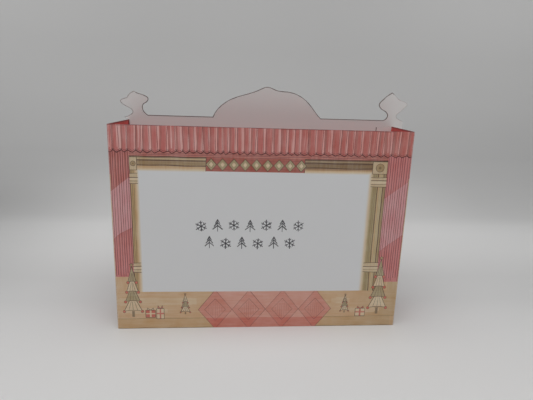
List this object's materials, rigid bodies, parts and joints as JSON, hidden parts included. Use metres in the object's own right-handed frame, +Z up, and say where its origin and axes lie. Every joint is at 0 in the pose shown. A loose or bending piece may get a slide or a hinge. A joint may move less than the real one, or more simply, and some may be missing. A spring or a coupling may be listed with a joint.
{
  "type": "stand-up greeting card",
  "caption": "Folded greeting card that stands open as a four-sided sleeve, its far panel die-cut to a crest with a low dome between finials.",
  "frame": {"origin": "on the standing surface, under the middle of the crest and half-way between the near and the far panel", "axes": "+X along the card to the right as seen from the message side, +Y from the message panel to the crested panel, +Z up"},
  "size_m": [0.1922, 0.0444, 0.1506],
  "materials": {
    "printed_card": "uncoated white card of about 0.4 mm, printed with a red, tan and gold wash, bare white where it isn't printed"
  },
  "bodies": {
    "root": {"folded_card": "printed_card"}
  },
  "joints": []
}
